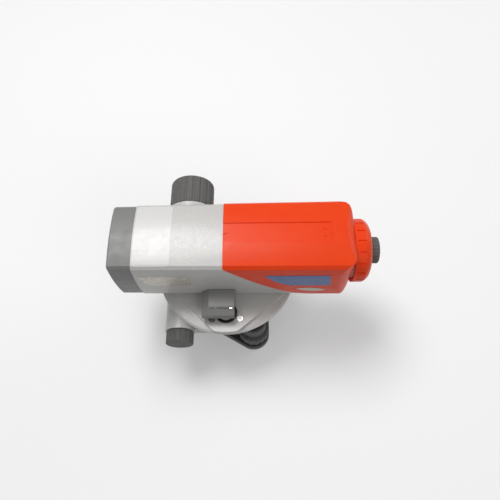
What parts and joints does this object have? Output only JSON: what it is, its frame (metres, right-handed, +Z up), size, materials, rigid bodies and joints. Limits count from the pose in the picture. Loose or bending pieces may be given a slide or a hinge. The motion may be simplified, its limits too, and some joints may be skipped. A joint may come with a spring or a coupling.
{
  "type": "automatic level",
  "caption": "Surveyor's automatic level: boxy telescope with hooded objective, orange rear cover, round flange with circular level, and a three-screw levelling base.",
  "frame": {"origin": "mouth of the tripod thread, where the vertical axis meets the underside of the base plate", "axes": "+Z up along the vertical axis, +X along the line of sight towards the eyepiece, +Y towards the focusing knob"},
  "size_m": [0.215, 0.13, 0.1399],
  "materials": {
    "base_metal": "satin black paint on cast aluminium",
    "spring_steel": "ground spring steel",
    "screw_steel": "turned steel",
    "knob_rubber": "matt dark grey rubber",
    "body_paint": "light grey paint with a fine orange-peel grain on cast aluminium",
    "hood_plastic": "satin dark grey plastic",
    "mirror_plastic": "satin mid grey plastic",
    "cover_plastic": "satin red-orange plastic",
    "black_anodised": "black anodised",
    "plain_aluminium": "turned",
    "brass": "turned",
    "lens_glass": "coated optical glass",
    "clear_glass": "clear glass",
    "vial_glass": "glass vial with pale green spirit",
    "mirror": "front-silvered glass",
    "magnet": "plated magnet",
    "label_film": "printed vinyl film, left bare",
    "label_foil": "crinkled silver foil sticker, left bare"
  },
  "bodies": {
    "base": {"base_plate": "base_metal", "spring_plate": "spring_steel", "spring_plate_screws": "screw_steel"},
    "foot_a_pivot": {"foot_ball_a": "screw_steel"},
    "tribrach": {"tribrach": "base_metal", "foot_screw_bushes": "brass", "vertical_axis": "screw_steel", "axis_nut": "brass", "clutch_washer": "spring_steel"},
    "foot_screw_a": {"foot_screw_a": "screw_steel", "foot_knob_a": "knob_rubber"},
    "foot_b_pivot": {"foot_ball_b": "screw_steel"},
    "foot_screw_b": {"foot_screw_b": "screw_steel", "foot_knob_b": "knob_rubber"},
    "foot_c_pivot": {"foot_ball_c": "screw_steel"},
    "foot_screw_c": {"foot_screw_c": "screw_steel", "foot_knob_c": "knob_rubber"},
    "circle": {"circle_ring": "black_anodised"},
    "drive_wheel": {"worm_wheel": "brass"},
    "level_head": {"main_housing": "body_paint", "axis_bush": "brass", "tangent_bushes": "brass", "circle_window": "clear_glass", "front_hood": "hood_plastic", "objective_cell": "black_anodised", "objective_lens": "lens_glass", "objective_ring": "black_anodised", "focus_tube": "plain_aluminium", "focus_bush": "brass", "compensator_frame": "plain_aluminium", "fixed_prisms": "clear_glass", "damper_magnets": "magnet", "eyepiece_mount": "black_anodised", "reticle_cell": "brass", "reticle": "clear_glass", "reticle_screws": "screw_steel", "reticle_cap": "cover_plastic", "rear_cover": "cover_plastic", "vial_holder": "black_anodised", "circular_vial": "vial_glass", "vial_screws": "screw_steel", "mirror_housing": "mirror_plastic", "mirror_glass": "mirror", "mirror_window": "clear_glass"},
    "tangent_screw": {"worm_shaft": "screw_steel", "tangent_knobs": "knob_rubber"},
    "focus_drive": {"focus_shaft": "screw_steel", "focus_knob": "knob_rubber"},
    "focusing_slide": {"focusing_cell": "black_anodised", "focusing_lens": "lens_glass", "focusing_rack": "brass"},
    "pendulum": {"pendulum": "plain_aluminium", "pendulum_prism": "clear_glass", "damper_plate": "plain_aluminium", "suspension_tapes": "spring_steel"},
    "eyepiece_slide": {"eyepiece_barrel": "black_anodised", "eyepiece_lenses": "lens_glass"},
    "eyepiece_knob": {"eyepiece_knob": "knob_rubber"}
  },
  "joints": [
    {"name": "head_tilt_b", "type": "hinge", "parent": "base", "child": "foot_a_pivot", "pos_m": [-0.046, 0, 0.009], "axis": [-0.866, -0.5, 0], "range_deg": [-2.08, 2.08]},
    {"name": "head_tilt_c", "type": "hinge", "parent": "foot_a_pivot", "child": "tribrach", "pos_m": [-0.046, 0, 0.009], "axis": [0.866, -0.5, 0], "range_deg": [-2.08, 2.08]},
    {"name": "foot_screw_a_turn", "type": "hinge", "parent": "tribrach", "child": "foot_screw_a", "pos_m": [-0.046, 0, 0.02], "axis": [0, 0, 1], "range_deg": [-900, 900]},
    {"name": "foot_screw_b_travel", "type": "slide", "parent": "tribrach", "child": "foot_b_pivot", "axis": [0, 0, 1], "range_m": [-0.00251, 0.00251]},
    {"name": "foot_screw_b_turn", "type": "hinge", "parent": "foot_b_pivot", "child": "foot_screw_b", "pos_m": [0.023, -0.03984, 0.02], "axis": [0, 0, 1], "range_deg": [-900, 900]},
    {"name": "foot_screw_c_travel", "type": "slide", "parent": "tribrach", "child": "foot_c_pivot", "axis": [0, 0, 1], "range_m": [-0.00251, 0.00251]},
    {"name": "foot_screw_c_turn", "type": "hinge", "parent": "foot_c_pivot", "child": "foot_screw_c", "pos_m": [0.023, 0.03984, 0.02], "axis": [0, 0, 1], "range_deg": [-900, 900]},
    {"name": "circle_turn", "type": "hinge", "parent": "tribrach", "child": "circle", "pos_m": [0, 0, 0.0466], "axis": [0, 0, 1], "continuous": true},
    {"name": "clutch_turn", "type": "hinge", "parent": "tribrach", "child": "drive_wheel", "pos_m": [0, 0, 0.058], "axis": [0, 0, 1], "continuous": true},
    {"name": "fine_azimuth", "type": "hinge", "parent": "drive_wheel", "child": "level_head", "pos_m": [0, 0, 0.058], "axis": [0, 0, 1], "continuous": true},
    {"name": "tangent_screw_turn", "type": "hinge", "parent": "level_head", "child": "tangent_screw", "pos_m": [-0.041, 0, 0.058], "axis": [0, 1, 0], "continuous": true},
    {"name": "focus_turn", "type": "hinge", "parent": "level_head", "child": "focus_drive", "pos_m": [-0.029, 0.03, 0.11], "axis": [0, 1, 0], "range_deg": [-175.12, 175.12]},
    {"name": "focusing_lens_slide", "type": "slide", "parent": "level_head", "child": "focusing_slide", "axis": [1, 0, 0], "range_m": [-0.011, 0.011]},
    {"name": "compensator_swing", "type": "hinge", "parent": "level_head", "child": "pendulum", "pos_m": [0.029, 0, 0.127], "axis": [0, 1, 0], "range_deg": [-0.25, 0.25]},
    {"name": "eyepiece_slide", "type": "slide", "parent": "level_head", "child": "eyepiece_slide", "axis": [1, 0, 0], "range_m": [-0.000458, 0.000458]},
    {"name": "eyepiece_turn", "type": "hinge", "parent": "eyepiece_slide", "child": "eyepiece_knob", "pos_m": [0.118, 0, 0.106], "axis": [1, 0, 0], "range_deg": [-220, 220]}
  ],
  "couplings": [
    {"joint": "foot_screw_b_turn", "follows": "head_tilt_b", "ratio": -433.54},
    {"joint": "foot_screw_b_travel", "follows": "head_tilt_b", "m_per_rad": -0.069},
    {"joint": "foot_screw_c_turn", "follows": "head_tilt_c", "ratio": -433.54},
    {"joint": "foot_screw_c_travel", "follows": "head_tilt_c", "m_per_rad": -0.069},
    {"joint": "tangent_screw_turn", "follows": "fine_azimuth", "ratio": -60},
    {"joint": "focus_turn", "follows": "focusing_lens_slide", "rad_per_m": -277.78},
    {"joint": "eyepiece_turn", "follows": "eyepiece_slide", "rad_per_m": 8377.6}
  ]
}
